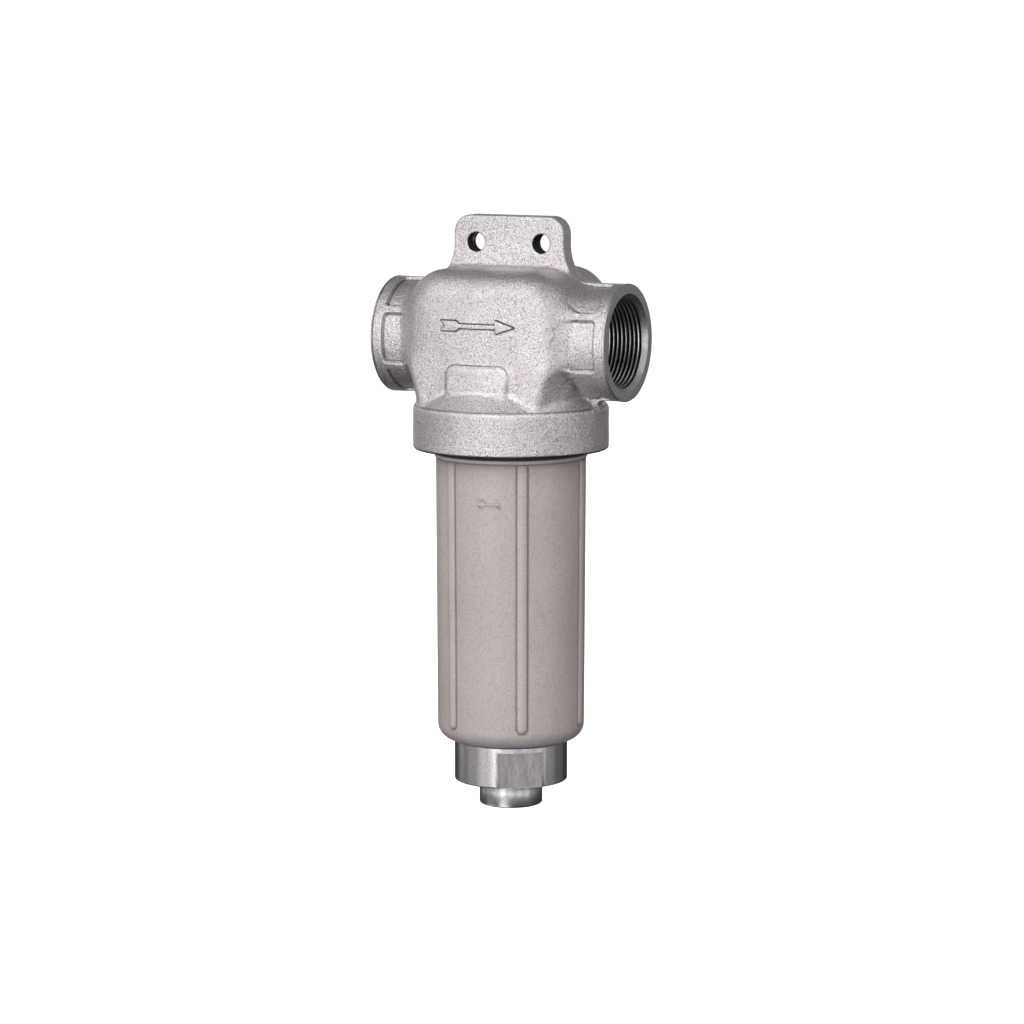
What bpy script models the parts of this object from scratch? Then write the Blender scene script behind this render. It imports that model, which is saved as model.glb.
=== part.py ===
"""In-line pressure filter: cast head with threaded side ports and a mounting lug,
moulded screw-in bowl, screen element, bottom drain cap and drain plug.

Metres, +Z up. The world origin is the centre of the lug's back face, midway
between its two holes. +X is the direction of flow, +Y points out of the back of
the lug. Dimensions below are in millimetres, measured from the point where the
port axis crosses the bowl axis; AXIS moves that point to its place in the world.
"""

import math

import bmesh
import bpy
from mathutils import Matrix

MM = 0.001

# where the bowl axis and the port axis cross
AXIS = (0.0, -6.7 * MM, -48.9 * MM)

STEPS = 40  # sides of the large round shapes
INNER_STEPS = 32  # sides of the screen and the seals

# head casting
FACE_X = 65.8  # port faces, each side of the bowl axis
PORT_R = 30.0
PORT_BAND = 6.0
BARREL_R = 28.3
RIB_W = 3.5
BORE_R = 21.0
THREAD_R = 22.42  # 1-1/2 in parallel pipe thread, minor radius
THREAD_L = 23.0
MOUTH_R = 25.0
BODY_HALF_X = 46.0
BODY_HALF_Y = 39.0
BODY_TOP = 36.5
DRUM_R = 42.3
RING_R = 50.5
RING_TOP = -34.3
RING_BOTTOM = -56.5
CHAMBER_R = 35.5
CHAMBER_TOP = 29.0
SHOULDER = -35.4  # face that the bowl's gasket seals on
SOCKET_R = 41.2
SPIGOT_R = 23.0
SPIGOT_TIP_R = 21.0
SPIGOT_STEP = -38.0
SPIGOT_END = -44.0
DUCT_R = 20.5
DUCT_WALL_R = 25.0
RISER_R = 18.5

# mounting lug
LUG_FRONT = -3.3
LUG_BACK = 6.7
LUG_TOP = 62.8
LUG_HALF = 30.6
LUG_FOOT_HALF = 34.2
LUG_CORNER = 9.0
HOLE_X = 18.46
HOLE_Z = 48.9
HOLE_R = 4.8

# coarse hand thread between head and bowl
PITCH = 6.0
THREAD_Z0 = -52.0  # middle of the ridge where it starts
RIDGE_TURNS = 1.8
RIDGE_ROOT_R, RIDGE_CREST_R = 40.2, 42.2
RIDGE_ROOT_H, RIDGE_CREST_H = 1.7, 0.9  # half widths
GROOVE_R0, GROOVE_R1 = 40.6, 42.7
GROOVE_H0, GROOVE_H1 = 2.15, 1.35
GROOVE_BACK = 45  # steps that the groove runs on below the ridge's start
GROOVE_PAST = 2  # steps that it runs on above the ridge's end

# bowl
NECK_R = 40.6
NECK_TOP = -38.6
NECK_END = -55.0
BAND_R = 39.3
BAND_END = -60.9
WALL_TOP_R = 38.7
WALL_LOW_R = 37.9
BOWL_BOTTOM = -208.0
BOWL_CORNER = 8.5
INNER_TOP_R = 35.3
INNER_LOW_R = 34.1
FLOOR = -204.5
FLOOR_CORNER = 5.0
TAIL_R = 23.9  # 1-1/2 in parallel pipe thread, major radius
TAIL_END = -220.7
TAIL_BORE_R = 14.0
RIB_COUNT = 6
RIB_START_DEG = 4.5
BOWL_RIB_W = 5.0
BOWL_RIB_PROUD = 1.0
BOWL_RIB_END = -199.0

# drain cap
COLLAR_R = 29.2
COLLAR_TOP = -208.3
COLLAR_END = -229.5
FLAT = 26.6
FLAT_TOP = -211.2
FLAT_DEG = -53.6
STUB_R = 16.3
STUB_END = -242.45
CAP_SOCKET_R = 24.2
CAP_FLOOR = -223.8
DRAIN_R = 12.1  # 3/4 in parallel pipe thread, minor radius
DRAIN_SEAT = -229.0
DRAIN_HOLE_R = 8.0

# gap left between pieces that touch
GAP = 0.3

for old in list(bpy.data.objects):
    bpy.data.objects.remove(old, do_unlink=True)
for old in list(bpy.data.collections):
    bpy.data.collections.remove(old)

pieces = bpy.data.collections.new("pressure_filter")
cutters = bpy.data.collections.new("cutters")
bpy.context.scene.collection.children.link(pieces)
bpy.context.scene.collection.children.link(cutters)

root = bpy.data.objects.new("filter_axis", None)
root.empty_display_size = 0.03
root.location = AXIS
pieces.objects.link(root)


def material(name, colour, roughness, metallic):
    mat = bpy.data.materials.new(name)
    mat.use_nodes = True
    shader = mat.node_tree.nodes["Principled BSDF"]
    shader.inputs["Base Color"].default_value = (*colour, 1.0)
    shader.inputs["Roughness"].default_value = roughness
    shader.inputs["Metallic"].default_value = metallic
    mat.diffuse_color = (*colour, 1.0)
    return mat


def new_object(name, mesh, tool=False):
    ob = bpy.data.objects.new(name, mesh)
    (cutters if tool else pieces).objects.link(ob)
    ob.parent = root
    if tool:
        ob.hide_render = True
        ob.display_type = "WIRE"
    return ob


def from_bmesh(name, bm, tool=True):
    bmesh.ops.recalc_face_normals(bm, faces=bm.faces[:])
    mesh = bpy.data.meshes.new(name)
    bm.to_mesh(mesh)
    bm.free()
    return new_object(name, mesh, tool)


def turned(name, profile, steps=STEPS, tool=True, loop=False, along_x=0):
    """A turned shape: profile is (radius, height) in mm, outer side top to bottom.
    loop joins its ends for a ring; along_x of 1 or -1 lays the axis along X, with
    heights measured that way."""
    mesh = bpy.data.meshes.new(name)
    verts = [(r * MM, 0.0, z * MM) for r, z in profile]
    edges = [(i, i + 1) for i in range(len(verts) - 1)]
    if loop:
        edges.append((len(verts) - 1, 0))
    mesh.from_pydata(verts, edges, [])
    ob = new_object(name, mesh, tool)
    screw = ob.modifiers.new("turn", "SCREW")
    screw.axis = "Z"
    screw.angle = math.tau
    screw.steps = steps
    screw.render_steps = steps
    screw.use_merge_vertices = True
    screw.merge_threshold = 0.00001
    screw.use_smooth_shade = True
    settle(ob)
    if along_x:
        ob.data.transform(Matrix.Rotation(math.radians(90 * along_x), 4, "Y"))
    return ob


def settle(ob):
    """Replaces an object's modifiers by the mesh that they make."""
    bpy.context.view_layer.update()
    graph = bpy.context.evaluated_depsgraph_get()
    mesh = bpy.data.meshes.new_from_object(ob.evaluated_get(graph))
    old = ob.data
    ob.modifiers.clear()
    ob.data = mesh
    mesh.name = ob.name
    if old.users == 0:
        bpy.data.meshes.remove(old)
    bm = bmesh.new()
    bm.from_mesh(mesh)
    bmesh.ops.remove_doubles(bm, verts=bm.verts[:], dist=0.000002)
    bmesh.ops.recalc_face_normals(bm, faces=bm.faces[:])
    bm.to_mesh(mesh)
    bm.free()


def join(ob, tool, operation):
    mod = ob.modifiers.new(operation.lower() + "_" + tool.name, "BOOLEAN")
    mod.operation = operation
    mod.object = tool
    mod.solver = "EXACT"


def finish(ob, mat):
    settle(ob)
    ob.data.materials.clear()
    ob.data.materials.append(mat)
    ob.data.shade_smooth()
    ob.data.set_sharp_from_angle(angle=math.radians(32))


def outline(corners, segments=5):
    """Points of a closed outline of (x, z, radius) corners, with round corners."""
    points = []
    count = len(corners)
    for i, (x, z, r) in enumerate(corners):
        if not r:
            points.append((x, z))
            continue
        ax, az = corners[i - 1][0] - x, corners[i - 1][1] - z
        bx, bz = corners[(i + 1) % count][0] - x, corners[(i + 1) % count][1] - z
        la, lb = math.hypot(ax, az), math.hypot(bx, bz)
        ax, az, bx, bz = ax / la, az / la, bx / lb, bz / lb
        half = math.acos(max(-1.0, min(1.0, ax * bx + az * bz))) / 2
        cut = r / math.tan(half)
        mx, mz = ax + bx, az + bz
        lm = math.hypot(mx, mz)
        cx, cz = x + mx / lm * r / math.sin(half), z + mz / lm * r / math.sin(half)
        a0 = math.atan2(z + az * cut - cz, x + ax * cut - cx)
        a1 = math.atan2(z + bz * cut - cz, x + bx * cut - cx)
        turn = (a1 - a0 + math.pi) % math.tau - math.pi
        for k in range(segments + 1):
            a = a0 + turn * k / segments
            points.append((cx + r * math.cos(a), cz + r * math.sin(a)))
    return points


def plate(name, points, y0, y1, tool=True):
    """A flat outline in the XZ plane, extruded from y0 to y1."""
    curve = bpy.data.curves.new(name, "CURVE")
    curve.dimensions = "2D"
    curve.fill_mode = "BOTH"
    curve.extrude = (y1 - y0) / 2 * MM
    spline = curve.splines.new("POLY")
    spline.points.add(len(points) - 1)
    for point, (x, z) in zip(spline.points, points):
        point.co = (x * MM, z * MM, 0.0, 1.0)
    spline.use_cyclic_u = True
    flat = bpy.data.objects.new(name + "_outline", curve)
    cutters.objects.link(flat)
    bpy.context.view_layer.update()
    graph = bpy.context.evaluated_depsgraph_get()
    mesh = bpy.data.meshes.new_from_object(flat.evaluated_get(graph))
    bpy.data.objects.remove(flat, do_unlink=True)
    bm = bmesh.new()
    bm.from_mesh(mesh)
    bpy.data.meshes.remove(mesh)
    bmesh.ops.remove_doubles(bm, verts=bm.verts[:], dist=0.000002)
    bmesh.ops.transform(bm, matrix=Matrix.Rotation(math.radians(90), 4, "X"), verts=bm.verts[:])
    bmesh.ops.translate(bm, vec=(0.0, (y0 + y1) / 2 * MM, 0.0), verts=bm.verts[:])
    bmesh.ops.dissolve_limit(bm, angle_limit=math.radians(0.5), verts=bm.verts[:], edges=bm.edges[:])
    return from_bmesh(name, bm, tool)


def blocks(name, boxes, tool=True):
    """Separate blocks in one object: (low corner, high corner, angle, axis) each."""
    bm = bmesh.new()
    for low, high, angle, axis in boxes:
        size = [(b - a) * MM for a, b in zip(low, high)]
        mid = [(a + b) / 2 * MM for a, b in zip(low, high)]
        place = Matrix.Rotation(math.radians(angle), 4, axis) @ Matrix.Translation(mid) @ Matrix.Diagonal((*size, 1.0))
        bmesh.ops.create_cube(bm, size=1.0, matrix=place)
    return from_bmesh(name, bm, tool)


def helix(name, r0, r1, h0, h1, z0, first, last):
    """A right-hand helical bar of trapezium section, between two step counts."""
    bm = bmesh.new()
    section = [(r0, -h0), (r1, -h1), (r1, h1), (r0, h0)]
    face = bm.faces.new([bm.verts.new((r * MM, 0.0, z * MM)) for r, z in section])
    bmesh.ops.spin(
        bm,
        geom=[face, *face.edges, *face.verts],
        cent=(0.0, 0.0, 0.0),
        axis=(0.0, 0.0, 1.0),
        dvec=(0.0, 0.0, PITCH / STEPS * MM),
        angle=math.tau * (last - first) / STEPS,
        steps=last - first,
    )
    start = Matrix.Translation((0.0, 0.0, (z0 + PITCH * first / STEPS) * MM)) @ Matrix.Rotation(math.tau * first / STEPS, 4, "Z")
    bmesh.ops.transform(bm, matrix=start, verts=bm.verts[:])
    return from_bmesh(name, bm)


def ball(name, radius, segments=24, rings=12):
    bm = bmesh.new()
    bmesh.ops.create_uvsphere(bm, u_segments=segments, v_segments=rings, radius=radius * MM)
    return from_bmesh(name, bm)


cast = material("cast_aluminium", (0.63, 0.61, 0.61), 0.5, 1.0)
polymer = material("moulded_polymer", (0.42, 0.39, 0.36), 0.6, 0.0)
steel = material("turned_steel", (0.62, 0.62, 0.62), 0.3, 1.0)
rubber = material("black_rubber", (0.02, 0.02, 0.02), 0.8, 0.0)
cage_grey = material("cage_polymer", (0.12, 0.12, 0.13), 0.55, 0.0)
wire = material("steel_mesh", (0.5, 0.5, 0.5), 0.4, 1.0)

# ---------------------------------------------------------------- head casting

body_points = outline(
    [
        (-32.6, -36.0, 0),
        (-36.0, -20.0, 0),
        (-BODY_HALF_X, -9.0, 0),
        (-BODY_HALF_X, BODY_TOP, 16.0),
        (BODY_HALF_X, BODY_TOP, 16.0),
        (BODY_HALF_X, -9.0, 0),
        (36.0, -20.0, 0),
        (32.6, -36.0, 0),
    ],
    segments=5,
)
head = plate("head", body_points, -BODY_HALF_Y, BODY_HALF_Y, tool=False)
round_off = head.modifiers.new("round_front_and_back", "BEVEL")
round_off.width = 12.0 * MM
round_off.segments = 3
round_off.limit_method = "ANGLE"
round_off.angle_limit = math.radians(60)
settle(head)

drum = turned("drum", [(0, -11), (36, -11), (40.4, -12), (DRUM_R, -14.5), (DRUM_R, -40), (0, -40)])
ring = turned(
    "ring",
    [
        (0, -25.0),
        (DRUM_R + 0.3, -25.0),
        (49.7, RING_TOP),
        (RING_R, RING_TOP - 1.0),
        (RING_R, RING_BOTTOM + 1.3),
        (RING_R - 1.2, RING_BOTTOM),
        (0, RING_BOTTOM),
    ],
)
join(head, drum, "UNION")
join(head, ring, "UNION")
for side, label in ((-1, "inlet"), (1, "outlet")):
    barrel = turned(
        label + "_barrel",
        [
            (0, FACE_X),
            (PORT_R - 0.6, FACE_X),
            (PORT_R, FACE_X - 0.6),
            (PORT_R, FACE_X - PORT_BAND),
            (BARREL_R, FACE_X - PORT_BAND - 0.8),
            (BARREL_R, 49.0),
            (31.0, 44.0),
            (31.0, 20.0),
            (0, 20.0),
        ],
        along_x=side,
    )
    join(head, barrel, "UNION")
ribs = []
for side in (-1, 1):
    for k in range(6):
        low, high = sorted((side * 42.0, side * (FACE_X - PORT_BAND + 1.0)))
        ribs.append(((low, -RIB_W / 2, 26.0), (high, RIB_W / 2, PORT_R - 0.1), 60.0 * k, "X"))
join(head, blocks("barrel_ribs", ribs), "UNION")

lug_points = outline(
    [
        (-LUG_FOOT_HALF, 30.0, 0),
        (-LUG_FOOT_HALF, 35.6, 0),
        (-31.6, 41.5, 0),
        (-LUG_HALF, 47.5, 0),
        (-LUG_HALF, LUG_TOP, LUG_CORNER),
        (LUG_HALF, LUG_TOP, LUG_CORNER),
        (LUG_HALF, 47.5, 0),
        (31.6, 41.5, 0),
        (LUG_FOOT_HALF, 35.6, 0),
        (LUG_FOOT_HALF, 30.0, 0),
    ],
    segments=6,
)
join(head, plate("lug", lug_points, LUG_FRONT, LUG_BACK), "UNION")

# hollow of the head and the socket for the bowl
hollow = turned(
    "hollow",
    [
        (0, CHAMBER_TOP),
        (22, CHAMBER_TOP),
        (30, CHAMBER_TOP - 2.6),
        (CHAMBER_R, CHAMBER_TOP - 10),
        (CHAMBER_R, SHOULDER),
        (SOCKET_R, SHOULDER),
        (SOCKET_R, -54.6),
        (43.4, RING_BOTTOM - 0.4),
        (0, RING_BOTTOM - 0.4),
    ],
)
join(head, hollow, "DIFFERENCE")
settle(head)

# outlet elbow inside the hollow, ending in the spigot that the screen fits on
riser = turned(
    "riser",
    [
        (0, 3.1),
        (SPIGOT_R, 3.1),
        (SPIGOT_R, SPIGOT_STEP),
        (SPIGOT_TIP_R, SPIGOT_STEP),
        (SPIGOT_TIP_R, SPIGOT_END + 0.8),
        (SPIGOT_TIP_R - 0.8, SPIGOT_END),
        (0, SPIGOT_END),
    ],
)
duct = turned("duct", [(0, 43.0), (DUCT_WALL_R, 43.0), (DUCT_WALL_R, -1.7), (0, -1.7)], along_x=1)
elbow = ball("elbow", DUCT_WALL_R + 1.0)
for tool in (duct, elbow):
    join(riser, tool, "UNION")
settle(riser)
join(head, riser, "UNION")
settle(head)

waterway = turned("waterway", [(0, 3.7), (RISER_R, 3.7), (RISER_R, SPIGOT_END - 1), (0, SPIGOT_END - 1)])
elbow_bore = ball("elbow_bore", DUCT_R + 1.1)
join(waterway, elbow_bore, "UNION")
for side, label, inner in ((-1, "inlet", 30.0), (1, "outlet", -2.3)):
    depth = BORE_R if side < 0 else DUCT_R
    bore = turned(
        label + "_bore",
        [
            (0, FACE_X + 1.0),
            (MOUTH_R + (MOUTH_R - THREAD_R) / 2.6, FACE_X + 1.0),
            (THREAD_R, FACE_X - 2.6),
            (THREAD_R, FACE_X - THREAD_L),
            (depth, FACE_X - THREAD_L - 1.5),
            (depth, inner),
            (0, inner),
        ],
        along_x=side,
    )
    if side < 0:
        join(head, bore, "DIFFERENCE")
    else:
        join(waterway, bore, "UNION")
        settle(waterway)
        join(head, waterway, "DIFFERENCE")
settle(head)

for side, label in ((-1, "left"), (1, "right")):
    bm = bmesh.new()
    place = Matrix.Translation((side * HOLE_X * MM, (LUG_FRONT + LUG_BACK) / 2 * MM, HOLE_Z * MM)) @ Matrix.Rotation(math.radians(90), 4, "X")
    bmesh.ops.create_cone(bm, cap_ends=True, segments=24, radius1=HOLE_R * MM, radius2=HOLE_R * MM, depth=14 * MM, matrix=place)
    join(head, from_bmesh(label + "_lug_hole", bm), "DIFFERENCE")

ridge_steps = round(RIDGE_TURNS * STEPS)
groove = helix("groove", GROOVE_R0, GROOVE_R1, GROOVE_H0, GROOVE_H1, THREAD_Z0, -GROOVE_BACK, ridge_steps + GROOVE_PAST)
join(head, groove, "DIFFERENCE")
finish(head, cast)

# ------------------------------------------------------------------------ bowl


def arc(cx, cz, radius, a0, a1, count):
    return [
        (
            cx + radius * math.cos(math.radians(a0 + (a1 - a0) * k / count)),
            cz + radius * math.sin(math.radians(a0 + (a1 - a0) * k / count)),
        )
        for k in range(count + 1)
    ]


bowl_profile = (
    [
        (NECK_R - 0.8, NECK_TOP),
        (NECK_R, NECK_TOP - 0.8),
        (NECK_R, NECK_END),
        (BAND_R, NECK_END - 0.8),
        (BAND_R, BAND_END),
        (WALL_TOP_R, BAND_END - 0.6),
    ]
    + arc(WALL_LOW_R - BOWL_CORNER, BOWL_BOTTOM + BOWL_CORNER, BOWL_CORNER, 0, -90, 5)
    + [
        (TAIL_R, BOWL_BOTTOM),
        (TAIL_R, TAIL_END + 0.8),
        (TAIL_R - 0.8, TAIL_END),
        (TAIL_BORE_R, TAIL_END),
        (TAIL_BORE_R, FLOOR),
    ]
    + arc(INNER_LOW_R - FLOOR_CORNER, FLOOR + FLOOR_CORNER, FLOOR_CORNER, -90, 0, 3)
    + [(INNER_TOP_R, NECK_TOP)]
)
bowl = turned("bowl", bowl_profile, tool=False, loop=True)
ridge = helix("ridge", RIDGE_ROOT_R, RIDGE_CREST_R, RIDGE_ROOT_H, RIDGE_CREST_H, THREAD_Z0, 0, ridge_steps)
join(bowl, ridge, "UNION")


def bowl_rib(name, angle):
    """A vertical rib with a round lower end, leaning in with the bowl's draft."""
    half = BOWL_RIB_W / 2
    points = outline(
        [
            (-half, BOWL_RIB_END, half * 0.98),
            (-half, BAND_END - 0.3, 0),
            (half, BAND_END - 0.3, 0),
            (half, BOWL_RIB_END, half * 0.98),
        ],
        segments=3,
    )
    rib = plate(name, points, -(WALL_TOP_R + BOWL_RIB_PROUD), -36.6)
    draft = (WALL_TOP_R - WALL_LOW_R) / (BAND_END - BOWL_RIB_END)
    for vert in rib.data.vertices:
        if vert.co.y < -38.0 * MM:
            vert.co.y += draft * (BAND_END * MM - vert.co.z)
    rib.data.transform(Matrix.Rotation(math.radians(angle + 90), 4, "Z"))
    return rib


for k in range(RIB_COUNT):
    join(bowl, bowl_rib("bowl_rib_%d" % (k + 1), RIB_START_DEG + k * 360 / RIB_COUNT), "UNION")
spokes = [((15.5, -1.5, FLOOR - 1.0), (29.5, 1.5, FLOOR + 2.6), 45.0 + 90.0 * k, "Z") for k in range(4)]
join(bowl, blocks("floor_ribs", spokes), "UNION")
finish(bowl, polymer)


def ring_piece(name, r_in, r_out, z_top, z_low, mat, steps=INNER_STEPS):
    profile = [(r_out, z_top), (r_out, z_low), (r_in, z_low), (r_in, z_top)]
    ob = turned(name, profile, steps=steps, tool=False, loop=True)
    finish(ob, mat)
    return ob


ring_piece("bowl_gasket", 36.0, 40.7, SHOULDER - GAP, NECK_TOP + GAP, rubber, STEPS)

# -------------------------------------------------------------- screen element

TUBE_IN, TUBE_OUT = 27.2, 28.8
MESH_IN, MESH_OUT = 29.1, 29.6
SKIRT_IN, SKIRT_OUT = 29.9, 31.0
TOP_FLANGE = SPIGOT_STEP - GAP - 2.0 - GAP
SCREEN_TOP = TOP_FLANGE - 2.2 - GAP
SCREEN_END = -196.0
CAP_TOP = -188.6
CAP_LOW = SCREEN_END - GAP - 2.0

ring_piece("screen_top_gasket", SPIGOT_TIP_R + 0.4, 26.5, SPIGOT_STEP - GAP, SPIGOT_STEP - GAP - 2.0, rubber)

top_ring = turned(
    "screen_top_ring",
    [
        (SKIRT_OUT - 0.5, TOP_FLANGE),
        (SKIRT_OUT, TOP_FLANGE - 0.5),
        (SKIRT_OUT, -50.6),
        (SKIRT_IN, -50.6),
        (SKIRT_IN, TOP_FLANGE - 2.2),
        (21.6, TOP_FLANGE - 2.2),
        (21.6, TOP_FLANGE),
    ],
    steps=INNER_STEPS,
    tool=False,
    loop=True,
)
finish(top_ring, steel)

bottom_cap = turned(
    "screen_bottom_cap",
    [
        (0, SCREEN_END - GAP),
        (SKIRT_IN, SCREEN_END - GAP),
        (SKIRT_IN, CAP_TOP),
        (SKIRT_OUT, CAP_TOP),
        (SKIRT_OUT, CAP_LOW + 0.5),
        (SKIRT_OUT - 0.5, CAP_LOW),
        (0, CAP_LOW),
    ],
    steps=INNER_STEPS,
    tool=False,
)
finish(bottom_cap, steel)

cage = ring_piece("screen_cage", TUBE_IN, TUBE_OUT, SCREEN_TOP, SCREEN_END, cage_grey)
windows = []
rows, columns = 5, 6
span = (SCREEN_TOP - 9.0) - (SCREEN_END + 9.0)
for row in range(rows):
    top = SCREEN_TOP - 9.0 - span * row / rows - 1.5
    low = SCREEN_TOP - 9.0 - span * (row + 1) / rows + 1.5
    for column in range(columns):
        windows.append(((25.0, -10.4, low), (31.0, 10.4, top), 360.0 / columns * (column + 0.5), "Z"))
join(cage, blocks("cage_windows", windows), "DIFFERENCE")
finish(cage, cage_grey)

ring_piece("screen_mesh", MESH_IN, MESH_OUT, SCREEN_TOP, SCREEN_END, wire)

seam = blocks(
    "screen_seam_strip",
    [((MESH_OUT + 0.35, -3.0, CAP_TOP + 0.6), (MESH_OUT + 1.15, 3.0, -50.6 - 0.6), 112.5, "Z")],
    tool=False,
)
finish(seam, steel)

ring_piece("screen_foot_pad", 12.0, 29.0, CAP_LOW - GAP, FLOOR + 2.6 + GAP, rubber)

# ------------------------------------------------------------------- drain cap

drain_cap = turned(
    "drain_cap",
    [
        (COLLAR_R - 0.6, COLLAR_TOP),
        (COLLAR_R, COLLAR_TOP - 0.6),
        (COLLAR_R, COLLAR_END + 0.6),
        (COLLAR_R - 0.6, COLLAR_END),
        (STUB_R, COLLAR_END),
        (STUB_R, STUB_END + 1.0),
        (STUB_R - 1.0, STUB_END),
        (DRAIN_R + 1.4, STUB_END),
        (DRAIN_R, STUB_END + 1.4),
        (DRAIN_R, DRAIN_SEAT),
        (DRAIN_HOLE_R, DRAIN_SEAT),
        (DRAIN_HOLE_R, CAP_FLOOR),
        (CAP_SOCKET_R, CAP_FLOOR),
        (CAP_SOCKET_R, COLLAR_TOP - 0.8),
        (CAP_SOCKET_R + 0.8, COLLAR_TOP),
    ],
    tool=False,
    loop=True,
)
flats = blocks(
    "wrench_flats",
    [
        ((FLAT, -20.0, COLLAR_END - 1.0), (FLAT + 6.0, 20.0, FLAT_TOP), FLAT_DEG, "Z"),
        ((FLAT, -20.0, COLLAR_END - 1.0), (FLAT + 6.0, 20.0, FLAT_TOP), FLAT_DEG + 180, "Z"),
    ],
)
join(drain_cap, flats, "DIFFERENCE")
finish(drain_cap, steel)

ring_piece("drain_cap_gasket", 15.5, 23.6, TAIL_END - GAP, CAP_FLOOR + GAP, rubber)
ring_piece("drain_plug_washer", DRAIN_HOLE_R + 0.3, DRAIN_R - 0.5, DRAIN_SEAT - GAP, DRAIN_SEAT - GAP - 2.4, rubber)

PLUG_TOP = DRAIN_SEAT - GAP - 2.4 - GAP
PLUG_R = DRAIN_R - GAP
plug = turned(
    "drain_plug",
    [
        (0, PLUG_TOP),
        (PLUG_R - 0.8, PLUG_TOP),
        (PLUG_R, PLUG_TOP - 0.8),
        (PLUG_R, -241.4),
        (PLUG_R - 0.6, -242.0),
        (0, -242.0),
    ],
    steps=INNER_STEPS,
    tool=False,
)
bm = bmesh.new()
bmesh.ops.create_cone(
    bm,
    cap_ends=True,
    segments=6,
    radius1=6.0 / math.cos(math.radians(30)) * MM,
    radius2=6.0 / math.cos(math.radians(30)) * MM,
    depth=8.0 * MM,
    matrix=Matrix.Translation((0.0, 0.0, -239.5 * MM)),
)
join(plug, from_bmesh("hexagon_socket", bm), "DIFFERENCE")
finish(plug, steel)
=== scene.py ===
"""Looks of an in-line pressure filter: shot-blasted cast head, matte moulded bowl,
turned drain cap. Lengths in the shapes below are millimetres from the point where
the port axis crosses the bowl axis; world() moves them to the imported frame."""

import math

import bmesh
import bpy
import numpy as np
from mathutils import Matrix, Vector

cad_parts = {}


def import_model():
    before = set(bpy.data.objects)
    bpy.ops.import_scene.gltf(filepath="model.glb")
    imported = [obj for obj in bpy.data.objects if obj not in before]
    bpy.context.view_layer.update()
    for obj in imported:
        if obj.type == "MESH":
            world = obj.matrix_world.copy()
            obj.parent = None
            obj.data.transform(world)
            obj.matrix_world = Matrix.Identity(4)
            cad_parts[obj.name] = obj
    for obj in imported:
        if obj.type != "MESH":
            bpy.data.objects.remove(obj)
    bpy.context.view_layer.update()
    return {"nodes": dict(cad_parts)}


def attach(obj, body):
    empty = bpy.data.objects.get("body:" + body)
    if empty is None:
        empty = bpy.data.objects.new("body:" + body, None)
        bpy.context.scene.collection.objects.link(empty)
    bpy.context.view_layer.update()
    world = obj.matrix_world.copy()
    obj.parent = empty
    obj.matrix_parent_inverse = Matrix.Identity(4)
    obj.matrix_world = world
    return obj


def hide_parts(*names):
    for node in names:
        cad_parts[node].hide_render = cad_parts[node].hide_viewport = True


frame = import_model()

AXIS = np.array((0.0, -6.7, -48.9))
MM = 0.001
TAU = math.tau

scene = bpy.context.scene


def world(points):
    return (np.asarray(points, dtype=np.float64) + AXIS) * MM


# ------------------------------------------------------------------ mesh tools


def mesh_from_arrays(name, verts, quads, smooth=True):
    """A mesh object from an array of points in mm and an array of quads."""
    mesh = bpy.data.meshes.new(name)
    mesh.vertices.add(len(verts))
    mesh.vertices.foreach_set("co", world(verts).astype(np.float32).ravel())
    quads = np.ascontiguousarray(quads, dtype=np.int32)
    mesh.loops.add(quads.size)
    mesh.loops.foreach_set("vertex_index", quads.ravel())
    mesh.polygons.add(len(quads))
    mesh.polygons.foreach_set("loop_start", np.arange(0, quads.size, quads.shape[1], dtype=np.int32))
    mesh.update(calc_edges=True)
    mesh.validate()
    if smooth:
        mesh.shade_smooth()
    ob = bpy.data.objects.new(name, mesh)
    scene.collection.objects.link(ob)
    return ob


def clean(ob, dist=0.000004, sharp=None):
    """Welds doubled points, drops faces with no area and faces the rest outwards."""
    bm = bmesh.new()
    bm.from_mesh(ob.data)
    bmesh.ops.remove_doubles(bm, verts=bm.verts[:], dist=dist)
    bmesh.ops.dissolve_degenerate(bm, dist=dist, edges=bm.edges[:])
    bmesh.ops.recalc_face_normals(bm, faces=bm.faces[:])
    bm.to_mesh(ob.data)
    bm.free()
    ob.data.shade_smooth()
    if sharp is not None:
        ob.data.set_sharp_from_angle(angle=math.radians(sharp))
    return ob


def grid_quads(rows, columns, loop_rows):
    """Quads of a grid of points, round in the columns and, for a ring, in the rows."""
    i = np.arange(rows if loop_rows else rows - 1)[:, None]
    j = np.arange(columns)[None, :]
    i2, j2 = (i + 1) % rows, (j + 1) % columns
    return np.stack(
        np.broadcast_arrays(i * columns + j, i * columns + j2, i2 * columns + j2, i2 * columns + j), -1
    ).reshape(-1, 4)


def densify(profile, step):
    """Points along a profile of (radius, height), no further apart than step."""
    out = [profile[0]]
    for (r0, z0), (r1, z1) in zip(profile, profile[1:]):
        n = max(1, int(math.ceil(math.hypot(r1 - r0, z1 - z0) / step)))
        out += [(r0 + (r1 - r0) * k / n, z0 + (z1 - z0) * k / n) for k in range(1, n + 1)]
    return out


def arc(cx, cz, radius, a0, a1, count):
    return [
        (
            cx + radius * math.cos(math.radians(a0 + (a1 - a0) * k / count)),
            cz + radius * math.sin(math.radians(a0 + (a1 - a0) * k / count)),
        )
        for k in range(count + 1)
    ]


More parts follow.
